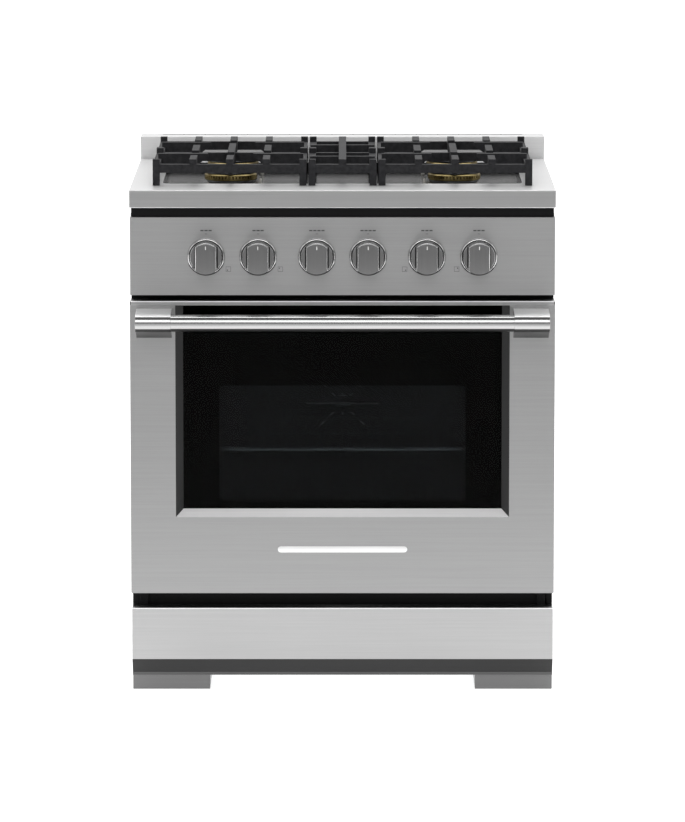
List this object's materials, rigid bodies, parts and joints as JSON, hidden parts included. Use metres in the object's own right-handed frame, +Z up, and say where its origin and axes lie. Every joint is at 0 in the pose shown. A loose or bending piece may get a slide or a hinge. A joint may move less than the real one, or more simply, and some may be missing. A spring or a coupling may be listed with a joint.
{
  "type": "freestanding gas range",
  "caption": "Freestanding gas range with sealed brass burners under cast-iron grates, turn knobs on a front panel, and a drop-down windowed oven door with a bar handle.",
  "frame": {"origin": "on the floor, under the middle of the whole range's box", "axes": "+Z up, -Y towards the cook, +X to the cook's right"},
  "size_m": [0.759, 0.7462, 0.955],
  "materials": {
    "brushed_steel": "horizontal brushed grain, satin",
    "bright_steel": "fine polished steel",
    "knob_steel": "satin, slightly darker",
    "dark_steel": "matt black",
    "galvanised": "galvanised, dull",
    "cast_iron": "matt black enamel with a fine grain",
    "burner_enamel": "black enamel",
    "enamel": "dark speckled oven enamel",
    "brass": "cast, slightly dull",
    "black_glass": "black ceramic print with a see-through pane",
    "clear_glass": "clear, slightly tinted",
    "plastic": "matt"
  },
  "bodies": {
    "range_body": {"back_panel": "galvanised", "back_trim": "brushed_steel", "base_frame": "galvanised", "bezel_front_left": "bright_steel", "bezel_front_right": "bright_steel", "bezel_oven_function": "bright_steel", "bezel_oven_temperature": "bright_steel", "bezel_rear_left": "bright_steel", "bezel_rear_right": "bright_steel", "broil_burner": "bright_steel", "burner_cap_front_left": "burner_enamel", "burner_cap_front_right": "burner_enamel", "burner_cap_rear_left": "burner_enamel", "burner_cap_rear_right": "burner_enamel", "burner_head_front_left": "brass", "burner_head_front_right": "brass", "burner_head_rear_left": "brass", "burner_head_rear_right": "brass", "control_panel": "brushed_steel", "cooktop": "brushed_steel", "fan_cover": "enamel", "front_frame": "dark_steel", "gas_inlet": "brass", "gas_manifold": "galvanised", "hinge_left": "galvanised", "hinge_right": "galvanised", "kick_panel": "brushed_steel", "leg_skirt_left": "brushed_steel", "leg_skirt_right": "brushed_steel", "oven_cavity": "enamel", "oven_floor": "enamel", "power_inlet": "plastic", "side_panel_left": "brushed_steel", "side_panel_right": "brushed_steel"},
    "oven_door": {"door_skin": "brushed_steel", "door_liner": "enamel", "door_outer_glass": "black_glass", "door_inner_glass": "clear_glass", "handle_bar": "bright_steel", "handle_bracket_left": "bright_steel", "handle_bracket_right": "bright_steel"},
    "stem_front_left": {"valve_stem_front_left": "galvanised"},
    "dial_front_left": {"knob_front_left": "knob_steel"},
    "stem_rear_left": {"valve_stem_rear_left": "galvanised"},
    "dial_rear_left": {"knob_rear_left": "knob_steel"},
    "dial_oven_function": {"knob_oven_function": "knob_steel"},
    "dial_oven_temperature": {"knob_oven_temperature": "knob_steel"},
    "stem_front_right": {"valve_stem_front_right": "galvanised"},
    "dial_front_right": {"knob_front_right": "knob_steel"},
    "stem_rear_right": {"valve_stem_rear_right": "galvanised"},
    "dial_rear_right": {"knob_rear_right": "knob_steel"},
    "grate_left": {"grate_left": "cast_iron"},
    "grate_center": {"grate_center": "cast_iron"},
    "grate_right": {"grate_right": "cast_iron"},
    "rack": {"oven_rack": "bright_steel"},
    "fan": {"convection_fan": "bright_steel"},
    "leg_front_left": {"levelling_leg_front_left": "galvanised"},
    "leg_rear_left": {"levelling_leg_rear_left": "galvanised"},
    "leg_front_right": {"levelling_leg_front_right": "galvanised"},
    "leg_rear_right": {"levelling_leg_rear_right": "galvanised"}
  },
  "joints": [
    {"name": "door_hinge", "type": "hinge", "parent": "range_body", "child": "oven_door", "pos_m": [0, -0.26687, 0.19], "axis": [1, 0, 0], "range_deg": [0, 90], "stiffness_Nm_per_rad": 14, "springref_deg": -20.05},
    {"name": "push_front_left", "type": "slide", "parent": "range_body", "child": "stem_front_left", "axis": [0, 1, 0], "range_m": [0, 0.003], "stiffness_N_per_m": 1500},
    {"name": "turn_front_left", "type": "hinge", "parent": "stem_front_left", "child": "dial_front_left", "pos_m": [-0.2425, -0.30307, 0.789], "axis": [0, -1, 0], "range_deg": [0, 270]},
    {"name": "push_rear_left", "type": "slide", "parent": "range_body", "child": "stem_rear_left", "axis": [0, 1, 0], "range_m": [0, 0.003], "stiffness_N_per_m": 1500},
    {"name": "turn_rear_left", "type": "hinge", "parent": "stem_rear_left", "child": "dial_rear_left", "pos_m": [-0.15, -0.30307, 0.789], "axis": [0, -1, 0], "range_deg": [0, 270]},
    {"name": "turn_oven_function", "type": "hinge", "parent": "range_body", "child": "dial_oven_function", "pos_m": [-0.0455, -0.30307, 0.789], "axis": [0, 1, 0], "range_deg": [0, 270]},
    {"name": "turn_oven_temperature", "type": "hinge", "parent": "range_body", "child": "dial_oven_temperature", "pos_m": [0.0455, -0.30307, 0.789], "axis": [0, 1, 0], "range_deg": [0, 300]},
    {"name": "push_front_right", "type": "slide", "parent": "range_body", "child": "stem_front_right", "axis": [0, 1, 0], "range_m": [0, 0.003], "stiffness_N_per_m": 1500},
    {"name": "turn_front_right", "type": "hinge", "parent": "stem_front_right", "child": "dial_front_right", "pos_m": [0.15, -0.30307, 0.789], "axis": [0, -1, 0], "range_deg": [0, 270]},
    {"name": "push_rear_right", "type": "slide", "parent": "range_body", "child": "stem_rear_right", "axis": [0, 1, 0], "range_m": [0, 0.003], "stiffness_N_per_m": 1500},
    {"name": "turn_rear_right", "type": "hinge", "parent": "stem_rear_right", "child": "dial_rear_right", "pos_m": [0.2425, -0.30307, 0.789], "axis": [0, -1, 0], "range_deg": [0, 270]},
    {"name": "lift_grate_left", "type": "slide", "parent": "range_body", "child": "grate_left", "axis": [0, 0, 1], "range_m": [0, 0.12]},
    {"name": "lift_grate_center", "type": "slide", "parent": "range_body", "child": "grate_center", "axis": [0, 0, 1], "range_m": [0, 0.12]},
    {"name": "lift_grate_right", "type": "slide", "parent": "range_body", "child": "grate_right", "axis": [0, 0, 1], "range_m": [0, 0.12]},
    {"name": "rack_slide", "type": "slide", "parent": "range_body", "child": "rack", "axis": [0, -1, 0], "range_m": [0, 0.045]},
    {"name": "fan_spin", "type": "hinge", "parent": "range_body", "child": "fan", "pos_m": [0, 0.25412, 0.45075], "axis": [0, 1, 0], "continuous": true},
    {"name": "level_front_left", "type": "slide", "parent": "range_body", "child": "leg_front_left", "axis": [0, 0, -1], "range_m": [0, 0.025]},
    {"name": "level_rear_left", "type": "slide", "parent": "range_body", "child": "leg_rear_left", "axis": [0, 0, -1], "range_m": [0, 0.025]},
    {"name": "level_front_right", "type": "slide", "parent": "range_body", "child": "leg_front_right", "axis": [0, 0, -1], "range_m": [0, 0.025]},
    {"name": "level_rear_right", "type": "slide", "parent": "range_body", "child": "leg_rear_right", "axis": [0, 0, -1], "range_m": [0, 0.025]}
  ]
}
